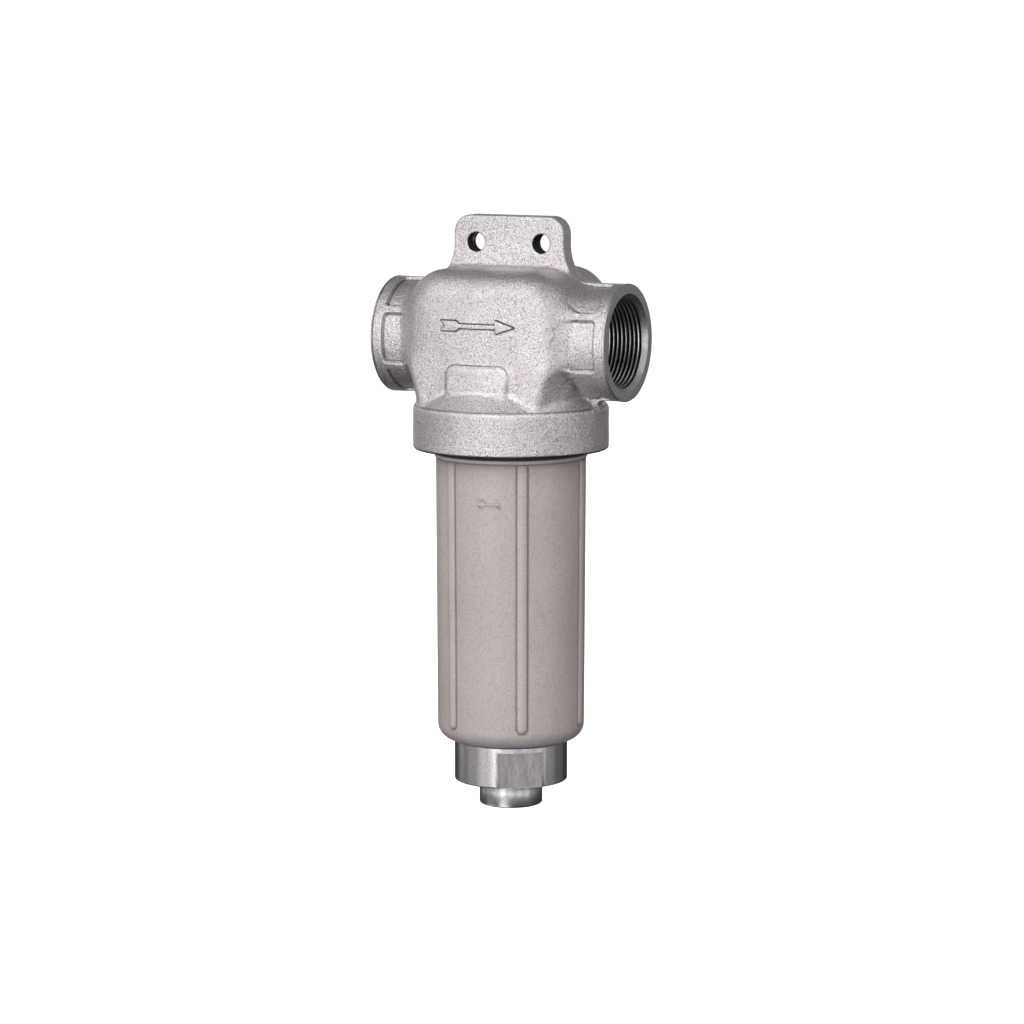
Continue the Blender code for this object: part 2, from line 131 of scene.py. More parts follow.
def turned(name, rows, columns, shape=None, loop=True, axis="Z"):
    """A turned shape on the rows' (radius, height) and the columns' angles.
    shape(radius, height, angle) gives the radius where it isn't round."""
    rows = np.array(rows, dtype=np.float64)
    angle = np.asarray(columns, dtype=np.float64)[None, :]
    radius = rows[:, :1] + 0 * angle
    height = rows[:, 1:2] + 0 * angle
    angle = angle + 0 * radius
    if shape:
        radius = shape(radius, height, angle)
    points = np.stack([radius * np.cos(angle), radius * np.sin(angle), height], -1).reshape(-1, 3)
    if axis == "X":  # heights run along +X
        points = points[:, [2, 0, 1]]
    elif axis == "-X":
        points = points[:, [2, 0, 1]] * np.array((-1.0, 1.0, 1.0))
    return mesh_from_arrays(name, points, grid_quads(len(rows), angle.shape[1], loop))


# --------------------------------------------------------- distance-field tools


def round_max(a, b, r):
    """Meeting of two solids, its edge rounded to radius r."""
    u, v = np.maximum(a + r, 0), np.maximum(b + r, 0)
    return np.minimum(-r, np.maximum(a, b)) + np.sqrt(u * u + v * v)


def round_min(a, b, r):
    """Union of two solids, with a fillet of radius r where they meet."""
    u, v = np.maximum(r - a, 0), np.maximum(r - b, 0)
    return np.maximum(r, np.minimum(a, b)) - np.sqrt(u * u + v * v)


def ramp(x, low, high):
    t = np.clip((x - low) / (high - low), 0, 1)
    return t * t * (3 - 2 * t)


def ripple(x, y, z, size, seed):
    """Smooth, irregular waviness from -1 to 1, of about the given wavelength."""
    rng = np.random.default_rng(seed)
    total = 0
    for _ in range(7):
        d = rng.normal(size=3)
        d *= TAU / size * rng.uniform(0.6, 1.7) / np.linalg.norm(d)
        total = total + np.sin(x * np.float32(d[0]) + y * np.float32(d[1]) + z * np.float32(d[2]) + np.float32(rng.uniform(0, TAU)))
    return total / 4.2


def evaluate(field, points, chunk=400000):
    out = np.empty(len(points), np.float32)
    for k in range(0, len(points), chunk):
        p = points[k : k + chunk].astype(np.float32)
        out[k : k + chunk] = field(p[:, 0], p[:, 1], p[:, 2])
    return out


def surface(field, low, high, step, block=6):
    """Points and quads of the field's zero surface, by surface nets on a grid."""
    low, high = np.array(low, float), np.array(high, float)
    blocks = np.ceil((high - low) / (step * block)).astype(int)
    n = blocks * block + 1
    centres = np.stack(np.meshgrid(*[(np.arange(b) + 0.5) * block * step for b in blocks], indexing="ij"), -1) + low
    coarse = evaluate(field, centres.reshape(-1, 3)).reshape(blocks)
    near = np.abs(coarse) < block * step * 0.866 * 1.35 + 0.8
    grid = np.empty(n, np.float32)
    grid[:-1, :-1, :-1] = np.repeat(np.repeat(np.repeat(coarse, block, 0), block, 1), block, 2)
    grid[-1], grid[:, -1], grid[:, :, -1] = grid[-2], grid[:, -2], grid[:, :, -2]
    mask = np.zeros(n, bool)
    for i, j, k in np.argwhere(near) * block:
        mask[i : i + block + 1, j : j + block + 1, k : k + block + 1] = True
    index = np.argwhere(mask)
    grid[mask] = evaluate(field, index * step + low)

    inside = grid < 0
    count = np.zeros(n - 1, np.uint8)
    for a in (slice(None, -1), slice(1, None)):
        for b in (slice(None, -1), slice(1, None)):
            for c in (slice(None, -1), slice(1, None)):
                count += inside[a, b, c]
    active = (count > 0) & (count < 8)
    cells = np.argwhere(active)
    number = np.full(active.shape, -1, np.int32)
    number[active] = np.arange(len(cells))
    corners = [np.array(((c >> 2) & 1, (c >> 1) & 1, c & 1)) for c in range(8)]
    total, hits = np.zeros((len(cells), 3)), np.zeros(len(cells))
    for a in range(8):
        for b in range(a + 1, 8):
            if np.abs(corners[a] - corners[b]).sum() != 1:
                continue
            da = grid[tuple((cells + corners[a]).T)]
            db = grid[tuple((cells + corners[b]).T)]
            cross = (da < 0) != (db < 0)
            t = da[cross] / (da[cross] - db[cross])
            total[cross] += corners[a] + t[:, None] * (corners[b] - corners[a])
            hits[cross] += 1
    points = low + step * (cells + total / hits[:, None])

    quads = []
    for axis in range(3):
        first = [slice(1, -1)] * 3
        second = [slice(1, -1)] * 3
        first[axis], second[axis] = slice(None, -1), slice(1, None)
        change = inside[tuple(first)] != inside[tuple(second)]
        at = np.argwhere(change) + np.array([0 if a == axis else 1 for a in range(3)])
        u, v = (axis + 1) % 3, (axis + 2) % 3
        eu, ev = np.eye(3, dtype=int)[u], np.eye(3, dtype=int)[v]
        ring = [number[tuple((at - du * eu - dv * ev).T)] for du, dv in ((1, 1), (0, 1), (0, 0), (1, 0))]
        quad = np.stack(ring, -1)
        out = inside[tuple(at.T)]
        quad[~out] = quad[~out][:, ::-1]
        quads.append(quad)
    return points, np.concatenate(quads)


def gradient(field, points, e=0.06):
    g = np.empty((len(points), 3))
    for axis in range(3):
        d = np.zeros(3)
        d[axis] = e
        g[:, axis] = (evaluate(field, points + d) - evaluate(field, points - d)) / (2 * e)
    return g


def settle(field, points, quads, step, passes=2):
    """Evens the net out and puts its points back on the surface."""
    for turn in range(passes + 1):
        g = gradient(field, points)
        size = np.maximum((g * g).sum(1), 0.15)
        move = -(evaluate(field, points) / size)[:, None] * g
        length = np.linalg.norm(move, axis=1, keepdims=True)
        points = points + move * np.minimum(1, 0.6 * step / np.maximum(length, 1e-9))
        if turn == passes:
            break
        total, hits = np.zeros_like(points), np.zeros(len(points))
        for a, b in ((0, 1), (1, 2), (2, 3), (3, 0)):
            for axis in range(3):
                total[:, axis] += np.bincount(quads[:, a], points[quads[:, b], axis], len(points))
            hits += np.bincount(quads[:, a], minlength=len(points))
        even = total / hits[:, None] - points
        normal = g / np.sqrt(size)[:, None]
        even -= (even * normal).sum(1, keepdims=True) * normal
        points = points + 0.5 * even
    return points


# -------------------------------------------------------------------- the head

FRONT = 39.6


def front_depth(x, z):
    """How far in front of the bowl axis the slightly domed front face lies. Beside
    the ports it falls away sooner, into the barrels."""
    upper = np.maximum(z - 2, 0)
    side = np.maximum(np.abs(x) - 26.0, 0)
    return FRONT - (x * x + 0.7 * upper * upper) / 560 - 0.0110 * side * side * ramp(z, -18.0, 0.0)


def head_body(x, y, z):
    """Body between the ports: rounded in front view, its corners sloping in lower down."""
    ax, ay = np.abs(x), np.abs(y)
    wider = 1.9 * ramp(-x, 0.0, 25.0)
    half = 47.2 + wider - 6.2 * ramp(-z, 14.0, 38.0)
    body = round_max((ax - half) * 0.99, z - 36.6, 25.5)
    body = round_max(body, (ay - front_depth(x, z)) * 0.97, 13.0 - 5.0 * ramp(-z, 4.0, 30.0))
    low = np.clip(-z, -30.0, 37.0)
    edge = 42.6 + wider - 0.48 * low + 0.0045 * low * low
    body = round_max(body, (ax - edge) * 0.87 + (ay - 39.0) * 0.49, 6.5 - 4.2 * ramp(-z, -4.0, 14.0))
    return np.maximum(body, -40.0 - z)


def boss_outline(x, z):
    return round_max(np.abs(x) - 17.2, z + 11.3, 5.0)


def pocket_outline(x, y, z):
    """Inside the recesses between the barrels' ribs it is negative."""
    turn = np.abs(np.mod(np.arctan2(z, y), TAU / 6) - TAU / 12)
    across = np.sqrt(y * y + z * z) * np.sin(turn)
    return round_max(2.05 - across, np.abs(x) - 59.6, 2.2)


def head_slope(x, y, z):
    """The shoulder over the bowl ring."""
    return (np.sqrt(x * x + y * y) - 42.6) * 0.786 + (z + 24.8) * 0.619


def head_skin(x, y, z):
    """Outside of the casting, as cast."""
    rho = np.sqrt(x * x + y * y)
    ax, ay = np.abs(x), np.abs(y)
    drum = round_max(rho - 42.3, z + 11.0, 4.5)
    solid = round_min(head_body(x, y, z), drum, 2.5)
    # low boss on both faces, over the sloping shoulder
    boss = boss_outline(x, z)
    proud = ay - 42.7 + x * x / 230
    boss = round_max(boss, round_max(proud, proud * 0.945 + (z + 18.6) * 0.326, 2.0), 1.6)
    boss = np.maximum(boss, -40.0 - z)
    solid = round_min(solid, boss, 0.9)
    # bowl ring under its sloping shoulder
    skirt = round_max(round_max(rho - 50.5, head_slope(x, y, z), 0.8), -56.5 - z, 1.7)
    solid = round_min(solid, skirt, 0.6 + 1.6 * ramp(ax, 19.0, 27.0))
    # port barrels, recessed between six ribs and an end band
    rp = np.sqrt(y * y + z * z)
    pocket = round_max(pocket_outline(x, y, z), 28.1 - rp, 0.5)
    barrel = round_max(rp - 30.0, -pocket, 0.45)
    barrel = np.maximum(barrel, ax - 64.9)
    solid = round_min(solid, barrel, 6.5 - 4.3 * ramp(-z, 9.0, 17.0) * ramp(ay, 2.0, 8.0))
    # mounting lug
    wide = 31.05 + 0.0205 * np.maximum(48.5 - z, 0) ** 2
    lug = round_max(ax - wide, z - 62.8, 9.0)
    lug = round_max(lug, np.abs(y - 1.7) - 5.0, 0.9)
    lug = np.maximum(lug, 26.0 - z)
    solid = round_min(solid, lug, 3.0)
    hole = 4.8 - np.sqrt((ax - 18.46) ** 2 + (z - 48.86) ** 2)
    solid = round_max(solid, hole, 0.45)
    # unevenness of the casting, and the rough parting line under the outlet
    wave = 0.11 + 0.075 * ripple(x, y, z, 15.0, 3) + 0.035 * ripple(x, y, z, 4.0, 5)
    wave = wave * (1 - ramp(y, 4.6, 6.0) * ramp(z, 38.0, 40.0))
    near = np.exp(-(((x - 49.0) / 3.6) ** 2 + ((y + 2.0) / 8.0) ** 2 + ((z + 33.9) / 1.7) ** 2))
    return solid + wave * ramp(z, -56.0, -54.5) - near * (0.35 + 1.25 * ripple(x, y, z, 2.6, 9))


def head_hollow(x, y, z):
    """Chamber, socket and helical groove for the bowl, counterbores of the ports."""
    rho = np.sqrt(x * x + y * y)
    ax = np.abs(x)
    rp = np.sqrt(y * y + z * z)
    chamber = np.maximum(round_max(rho - 35.5, z - 29.0, 10.0), -36.4 - z)
    socket = np.maximum(rho - 41.2, np.maximum(z + 35.4, -60.0 - z))
    mouth = np.maximum((rho - 41.2 + (54.7 + z)) * 0.707, np.maximum(z + 50.0, -60.0 - z))
    turns = (z + 52.0) / 6.0 - np.arctan2(y, x) / TAU
    nearest = np.round(turns)
    off = np.abs(turns - nearest) * 6.0
    along = nearest + np.arctan2(y, x) / TAU
    groove = np.maximum((off - 2.15 + (rho - 40.6) * 0.381) * 0.93, np.maximum(rho - 42.7, 40.0 - rho))
    groove = np.maximum(groove, (along - 1.85) * 6.0)
    port = np.maximum(rp - 25.2, 42.6 - ax)
    return np.minimum(np.minimum(np.minimum(chamber, socket), np.minimum(mouth, groove)), port)


def head_field(x, y, z):
    rho = np.sqrt(x * x + y * y)
    rp = np.sqrt(y * y + z * z)
    solid = np.maximum(head_skin(x, y, z), -head_hollow(x, y, z))
    ball = np.sqrt(x * x + rp * rp)
    riser = np.maximum(np.maximum(rho - 23.0, -38.0 - z), z - 3.0)
    riser = np.minimum(riser, np.maximum(np.maximum(rho - 21.0, -44.0 - z), z - 3.0))
    duct = np.maximum(np.maximum(rp - 25.0, -1.7 - x), x - 42.6)
    duct = round_min(np.minimum(duct, ball - 26.0), riser, 3.0)
    solid = round_min(solid, duct, 1.5)
    bore = np.maximum(np.maximum(rho - 18.5, z - 3.7), -46.0 - z)
    bore = np.minimum(bore, np.maximum(rp - 20.5, -2.3 - x))
    bore = np.minimum(bore, ball - 21.0)
    bore = np.minimum(bore, np.maximum(rp - 21.0, x + 30.0))
    return np.maximum(solid, -bore)


def build_head():
    step = 0.62
    points, quads = surface(head_field, (-68, -53, -60), (68, 53, 65.5), step)
    points = settle(head_field, points, quads, step)
    ob = mesh_from_arrays("head_casting", points, quads)
    # how deep in a corner, and how far out on an edge, each point lies; corners get painted shade, edges a painted
    # highlight
    g = gradient(head_field, points, 0.4)
    normal = g / np.maximum(np.linalg.norm(g, axis=1, keepdims=True), 1e-6)
    hollow = np.clip(1 - evaluate(head_field, points + 2.5 * normal) / 2.5, 0, 1)
    edge = np.clip(1 + evaluate(head_field, points - 1.2 * normal) / 1.2, 0, 1)
    # painted shade inside the lug's holes and round the foot of the raised arrow
    x, y, z = points.T
    hole = np.hypot(np.abs(x) - 18.46, z - 48.86)
    hollow = np.maximum(0.75 * hollow, (hole < 5.0) * (z > 40))
    foot = (1 - ramp(to_outline(x, z, ARROW), 0.3, 1.25)) * (y < -36)
    hollow = np.maximum(hollow, foot)
    # painted shadow along the rounded bottom edge of the ring
    rho = np.hypot(x, y)
    hollow = np.maximum(hollow, (1 - ramp(z, -56.1, -54.5)) * (rho < 51))
    # a painted shade line along the top of the rim, a painted highlight just under it
    out = (rho > 48.0) * (rho < 51.5)
    hollow = np.maximum(hollow, 0.72 * np.exp(-(((z + 33.7) / 0.5) ** 2)) * out)
    edge = np.maximum(edge, 0.8 * np.exp(-(((z + 35.1) / 0.5) ** 2)) * out)
    # creases of the shoulder catch the light
    a, b = np.maximum(head_body(x, y, z), 0), np.maximum(head_slope(x, y, z), 0)
    crease = np.exp(-(a * a + b * b) / 0.9**2) * (z > -35.5) * (np.abs(x) < 47)
    fold = np.exp(-((z + 24.6) / 0.6) ** 2) * (np.abs(rho - 42.9) < 1.3) * (np.abs(x) < 26)
    edge = np.maximum(edge, 0.85 * np.maximum(crease, fold))
    # painted shade round the boss, a painted highlight on its upper edge
    rim = boss_outline(x, z)
    front = (np.abs(y) > 36) * (z < -8) * (z > -24.4)
    high = ramp(z, -20.0, -12.0)
    hollow = np.where(front, np.maximum(hollow * 0.5, (0.58 + 0.27 * high) * np.exp(-(((rim - 0.35) / 0.5) ** 2))), hollow)
    edge = np.maximum(edge, (0.35 + 0.3 * high) * np.exp(-(((rim + 1.5) / 0.7) ** 2)) * front)
    # painted shade in the corners of the barrels' recesses
    barrel = (np.abs(x) > 46) * (np.abs(x) < 61) * (np.hypot(y, z) < 29.3) * (np.hypot(y, z) > 27.6)
    hollow = np.maximum(hollow, 0.88 * np.exp(-(((pocket_outline(x, y, z) + 0.45) / 0.55) ** 2)) * barrel)
    # and painted shade along the back edges of the lug
    lug_back_shade = ramp(y, 5.4, 6.4) * (1 - ramp(normal[:, 1], 0.6, 0.95)) * (z > 40)
    hollow = np.maximum(hollow, 0.8 * lug_back_shade)
    tag(ob, hollow=hollow, edge=edge)
    return ob


def tag(ob, **layers):
    """Stores one number per point under each name, for the material to read."""
    for name, values in layers.items():
        layer = ob.data.attributes.new(name, "FLOAT", "POINT")
        layer.data.foreach_set("value", np.asarray(values, np.float32))


def thread_depth(t):
    """Depth, from 0 at the crest to 1 at the root, of a 55 degree pipe thread."""
    t = np.abs(np.mod(t, 1.0) - 0.5) * 2  # 0 at the root, 1 at the crest
    return 1 - ramp(t, 0.10, 0.90)


def port_ring(name, side):
    """Machined end of a port: rim, face, mouth chamfer and female pipe thread."""
    columns = 160
    pitch, per = 2.309, 14
    end, face, inner = 64.9, 65.8, 43.0
    angle = np.arange(columns) / columns * TAU
    first = int(-per - 2)
    last = int(math.ceil((face - inner) / pitch * per)) + 2
    k = np.arange(first, last + 1)[:, None]
    depth_in = np.clip(k * pitch / per + pitch * angle[None, :] / TAU, 0, face - inner)
    thread = thread_depth((k / per + 0 * angle[None, :]))
    fade = ramp(face - inner - depth_in, 0.0, 3.0)
    radius = 22.42 + 1.479 * thread * fade
    radius = np.maximum(radius, 25.0 - depth_in * 0.82)
    radius = np.where(depth_in <= 0, 25.0, radius)
    bore = np.stack([radius * np.cos(angle), radius * np.sin(angle), face - depth_in], -1)
    rim = densify([(22.42, inner), (25.05, inner), (25.05, end)], 4.0)[1:]
    rim += [(29.6, end), (30.0, end), (30.0, face - 0.55)] + arc(29.45, face - 0.55, 0.55, 0, 90, 4) + [(28.2, face), (26.4, face)]
    rim = np.array(rim)
    outside = np.stack(
        [rim[:, :1] * np.cos(angle), rim[:, :1] * np.sin(angle), rim[:, 1:2] + 0 * angle[None, :]], -1
    )
    rows = np.concatenate([bore, outside])
    count = len(rows)
    points = rows.reshape(-1, 3)[:, [2, 0, 1]]
    # the last column joins the first one a whole turn of the thread further on
    i = np.arange(count - 1)[:, None]
    j = np.arange(columns - 1)[None, :]
    quads = np.stack(
        np.broadcast_arrays(i * columns + j, i * columns + j + 1, (i + 1) * columns + j + 1, (i + 1) * columns + j), -1
    ).reshape(-1, 4)
    seam = []
    bores = len(bore)
    for row in range(bores - 1 - per):
        seam.append([row * columns + columns - 1, (row + per) * columns, (row + 1 + per) * columns, (row + 1) * columns + columns - 1])
    for row in range(bores, count - 1):
        seam.append([row * columns + columns - 1, row * columns, (row + 1) * columns, (row + 1) * columns + columns - 1])
    # between the bore's last row and the outside's first, and round the seam there
    seam.append([(bores - 1) * columns + columns - 1, (bores - 1) * columns, bores * columns, bores * columns + columns - 1])
    close = [[(count - 1) * columns + c, (count - 1) * columns + (c + 1) % columns, (c + 1) % columns, c] for c in range(columns)]
    quads = np.concatenate([quads, np.array(seam), np.array(close)])
    if side < 0:
        points = points * np.array((-1.0, 1.0, 1.0))
        # mirroring would make the thread left-handed: turn half round instead
        points = points * np.array((1.0, -1.0, 1.0))
    ob = mesh_from_arrays(name, points, quads)
    clean(ob, 0.000002, 40)
    co = np.empty(len(ob.data.vertices) * 3, np.float32)
    ob.data.vertices.foreach_get("co", co)
    x, y, z = (co.reshape(-1, 3) / MM - AXIS).T
    rp = np.hypot(y, z)
    # painted shade in the thread's roots and down the bore, painted highlight on its crests
    inside = (np.abs(x) < face - 2.2) & (rp < 24.5)
    root = ramp(rp, 23.0, 23.75) * inside
    deep = inside * 0.18
    crest = (1 - ramp(rp, 22.55, 23.25)) * inside
    tag(ob, hollow=np.maximum(root, deep), edge=crest)
    return ob


ARROW = [
    (-20.2, 11.3), (-11.6, 11.3), (-9.8, 9.75), (10.6, 9.75), (10.6, 12.1), (20.4, 8.8),
    (10.6, 5.5), (10.6, 7.85), (-9.8, 7.85), (-11.6, 6.3), (-20.2, 6.3), (-17.8, 8.8),
]


def to_outline(x, z, outline):
    """Distance of each point to the nearest side of an outline."""
    best = np.full(len(x), 1e9)
    for (ax, az), (bx, bz) in zip(outline, outline[1:] + outline[:1]):
        dx, dz = bx - ax, bz - az
        s = np.clip(((x - ax) * dx + (z - az) * dz) / (dx * dx + dz * dz), 0, 1)
        best = np.minimum(best, np.hypot(x - ax - s * dx, z - az - s * dz))
    return best


def flow_arrow():
    """Raised arrow on the front of the casting, pointing from inlet to outlet."""
    outline = ARROW
    bm = bmesh.new()
    base = [bm.verts.new((x, 0.0, z)) for x, z in outline]
    face = bm.faces.new(base)
    made = bmesh.ops.extrude_face_region(bm, geom=[face])
    for v in made["geom"]:
        if isinstance(v, bmesh.types.BMVert):
            v.co.y = -1.0
    for k in range(-9, 10):
        bmesh.ops.bisect_plane(bm, geom=bm.verts[:] + bm.edges[:] + bm.faces[:], plane_co=(k * 2.1, 0, 0), plane_no=(1, 0, 0))
    bmesh.ops.recalc_face_normals(bm, faces=bm.faces[:])
    points = []
    for v in bm.verts:
        lift = 0.9 if v.co.y < -0.5 else -1.2
        points.append((v.co.x, -(float(front_depth(v.co.x, v.co.z)) + lift), v.co.z))
    for v, p in zip(bm.verts, world(points)):
        v.co = p
    mesh = bpy.data.meshes.new("flow_arrow")
    bm.to_mesh(mesh)
    bm.free()
    ob = bpy.data.objects.new("flow_arrow", mesh)
    scene.collection.objects.link(ob)
    soft = ob.modifiers.new("soft_edges", "BEVEL")
    soft.width = 0.16 * MM
    soft.segments = 2
    soft.limit_method = "ANGLE"
    soft.angle_limit = math.radians(40)
    mesh.shade_smooth()
    return ob


# -------------------------------------------------------------------- the bowl

RIB_ANGLES = [math.radians(4.5 + 60 * k) for k in range(6)]
MARK_AT = math.radians(26.07 - 90 - 17.0)
MARK = [
    (-6.8, -81.3), (-2.4, -79.4), (-2.4, -80.85), (3.8, -80.85), (5.9, -80.35), (5.1, -81.3), (5.9, -82.25), (3.8, -81.75),
    (-2.4, -81.75), (-2.4, -83.2),
]


def bowl_shape(radius, height, angle):
    """Adds the ribs and the thread's ridge to the bowl's outside."""
    out = radius > 36.6
    wrapped = np.mod(angle - RIB_ANGLES[0] + TAU / 12, TAU / 6) - TAU / 12
    across = 38.4 * np.abs(wrapped)
    down = np.maximum(-196.6 - height, 0)
    d = np.sqrt(across * across + down * down)
    rib = 1.3 * np.maximum(1 - (d / 2.8) ** 2, 0) ** 0.62 * ramp(-height, 60.6, 61.2)
    turns = (height + 52.0) / 6.0 - angle / TAU
    nearest = np.round(turns)
    off = np.abs(turns - nearest) * 6.0
    along = nearest + angle / TAU
    ridge = 1.6 * np.clip((1.7 - off) / 0.8, 0, 1) * ramp(along, -0.02, 0.05) * (1 - ramp(along, 1.75, 1.82))
    ridge = ridge * (height > -55.0) * (height < -38.7)
    # edge softening where the panels between the ribs start
    return radius + out * (rib + ridge)


def build_bowl():
    per = []
    for k in range(6):
        centre = RIB_ANGLES[k]
        fine = [-4.0, -3.5, -3.2, -3.0, -2.8, -2.6, -2.4, -2.2, -2.0, -1.8, -1.5, -0.9, 0]
        fine = fine + [-f for f in fine[-2::-1]]
        per += [centre + f / 38.4 for f in fine]
        free = TAU / 6 - 8.0 / 38.4
        n = 16
        per += [centre + 4.0 / 38.4 + free * i / n for i in range(1, n)]
    columns = np.sort(np.mod(per, TAU))
    wall = []
    for k in range(61):
        z = -61.6 - (199.5 - 61.6) * k / 60
        wall.append((38.7 - 0.8 * (-61.6 - z) / 137.9, z))
    wall += [(37.9 - 0.02, -z) for z in ()]
    rows = densify([(39.8, -38.6), (40.6, -39.4), (40.6, -54.8), (40.4, -55.1), (39.35, -55.5)], 0.4)
    rows += densify([(39.35, -55.5), (39.35, -56.7), (41.5, -56.7), (41.8, -57.0), (41.8, -57.7), (41.4, -58.2), (39.6, -58.9), (39.35, -59.1), (39.35, -60.2), (39.15, -60.7), (38.72, -61.0)], 0.6)[1:]
    dense = [(-61.0 - 0.12 * k) for k in range(1, 5)]
    rows += [(38.71, z) for z in dense]
    low = [z for _, z in wall if z > -194]
    low += list(np.arange(-194.0, -199.6, -0.28))
    rows += [(38.7 - 0.8 * (-61.6 - z) / 137.9, z) for z in low]
    rows += arc(29.4, -199.5, 8.5, 0, -90, 18)[1:]
    rows += densify([(29.4, -208.0), (23.9, -208.0), (23.9, -219.9), (23.1, -220.7), (14.0, -220.7), (14.0, -204.5), (29.1, -204.5)], 3.0)[1:]
    rows += arc(29.1, -199.5, 5.0, -90, 0, 6)[1:]
    rows += densify([(34.1, -199.5), (35.3, -38.6)], 8.0)[1:]
    ob = turned("bowl_shell", rows, columns, bowl_shape, loop=True)
    clean(ob, 0.000002, 50)
    co = np.empty(len(ob.data.vertices) * 3, np.float32)
    ob.data.vertices.foreach_get("co", co)
    x, y, z = (co.reshape(-1, 3) / MM - AXIS).T
    rho, angle = np.hypot(x, y), np.arctan2(y, x)
    wrapped = np.mod(angle - RIB_ANGLES[0] + TAU / 12, TAU / 6) - TAU / 12
    across = 38.4 * np.abs(wrapped)
    d = np.hypot(across, np.maximum(-196.6 - z, 0))
    on = (z < -61.2) & (rho > 36.6)
    # painted shade along the foot of each rib, painted highlight on its crown
    crease = np.exp(-(((d - 3.0) / 0.42) ** 2)) * on * 0.6
    rib_crown_highlight = (1 - ramp(d, 0.6, 1.9)) * on * 0.30
    # painted shade line where the panels start, and painted shadow under the ring
    top = np.exp(-(((z + 61.2) / 0.45) ** 2)) * (rho > 36.6) * 0.6
    top = np.maximum(top, ramp(-z, 55.9, 56.5) * (1 - ramp(-z, 58.2, 59.8)) * (rho > 36.6))
    # painted shade round the foot of the raised arrow
    swing = np.mod(angle - MARK_AT + math.pi, TAU) - math.pi
    foot = 1 - ramp(to_outline(38.56 * swing, z, MARK), 0.15, 0.75)
    top = np.maximum(top, 0.55 * foot * (np.abs(swing) < 0.4) * (rho > 36.6) * (z < -75) * (z > -90))
    tag(ob, hollow=np.maximum(crease, top), edge=rib_crown_highlight)
    return ob


def turn_arrow():
    """Small raised arrow on the bowl, showing which way it unscrews."""
    middle = MARK_AT
    outline = MARK
    bm = bmesh.new()
    face = bm.faces.new([bm.verts.new((x, 0.0, z)) for x, z in outline])
    made = bmesh.ops.extrude_face_region(bm, geom=[face])
    for v in made["geom"]:
        if isinstance(v, bmesh.types.BMVert):
            v.co.y = -1.0
    for k in range(-3, 4):
        bmesh.ops.bisect_plane(bm, geom=bm.verts[:] + bm.edges[:] + bm.faces[:], plane_co=(k * 1.5, 0, 0), plane_no=(1, 0, 0))
    bmesh.ops.recalc_face_normals(bm, faces=bm.faces[:])
    points = []
    for v in bm.verts:
        r = 38.60 + (0.42 if v.co.y < -0.5 else -0.6)
        a = middle + v.co.x / 38.56
        points.append((r * math.cos(a), r * math.sin(a), v.co.z))
    for v, p in zip(bm.verts, world(points)):
        v.co = p
    mesh = bpy.data.meshes.new("turn_arrow")
    bm.to_mesh(mesh)
    bm.free()
    ob = bpy.data.objects.new("turn_arrow", mesh)
    scene.collection.objects.link(ob)
    soft = ob.modifiers.new("soft_edges", "BEVEL")
    soft.width = 0.1 * MM
    soft.segments = 2
    soft.limit_method = "ANGLE"
    soft.angle_limit = math.radians(40)
    mesh.shade_smooth()
    return ob


# --------------------------------------------------------------- the drain cap

FLAT, FLAT_DIR = 26.6, math.radians(-53.6)


def build_cap():
    half = math.acos(FLAT / 29.2)
    half_low = math.acos(FLAT / 28.6)
    angles = []
    for base in (FLAT_DIR, FLAT_DIR + math.pi):
        angles += [base + half * f for f in np.linspace(-1, 1, 33)]
        angles += [base + half_low * s for s in (-1, 1)]
        gap = math.pi - 2 * half
        angles += [base + half + gap * f for f in np.linspace(0, 1, 58)[1:-1]]
    columns = np.sort(np.mod(angles, TAU))
    mark = -211.2
    rows = [(28.5, -208.3), (28.95, -208.45), (29.2, -208.8)]
    rows += [(29.2, -210.0), (29.2, mark + 0.02)]
    first = len(rows)
    rows += [(29.2, mark), (29.2, -217.0), (29.2, -223.0), (29.2, -228.9), (28.95, -229.3), (28.6, -229.5)]
    last = len(rows)
    rows += [(24.0, -229.5), (18.2, -229.5), (16.9, -229.5), (16.4, -229.75), (16.3, -230.3), (16.3, -235.0), (16.3, -241.3), (16.1, -241.9), (15.3, -242.45)]
    rows += [(13.6, -242.45), (12.1, -241.1)]
    rows += densify([(12.1, -241.1), (12.1, -229.0), (8.0, -229.0), (8.0, -223.8), (24.2, -223.8), (24.2, -209.1), (25.0, -208.3)], 5.0)[1:]
    index = np.arange(len(rows))[:, None]

    def shape(radius, height, angle):
        near = np.mod(angle - FLAT_DIR + math.pi / 2, math.pi) - math.pi / 2
        limit = FLAT / np.maximum(np.cos(near), 0.2)
        cut = (index >= first) & (index < last)
        return np.where(cut & (np.abs(near) <= half + 1e-6), np.minimum(radius, limit), radius)

    ob = turned("drain_cap_body", rows, columns, shape, loop=True)
    clean(ob, 0.000002, 30)
    co = np.empty(len(ob.data.vertices) * 3, np.float32)
    ob.data.vertices.foreach_get("co", co)
    x, y, z = (co.reshape(-1, 3) / MM - AXIS).T
    off = np.abs(x * math.cos(FLAT_DIR) + y * math.sin(FLAT_DIR))
    # the flats are marked for their ground finish; the stub below the collar is marked to be painted lighter, a
    # painted highlight
    tag(ob, hollow=(np.abs(off - FLAT) < 0.06) * (z < -211.1) * (z > -229.0), edge=ramp(-z, 229.4, 229.9))
    soft = ob.modifiers.new("broken_edges", "BEVEL")
    soft.width = 0.12 * MM
    soft.segments = 2
    soft.limit_method = "ANGLE"
    soft.angle_limit = math.radians(55)
    return ob


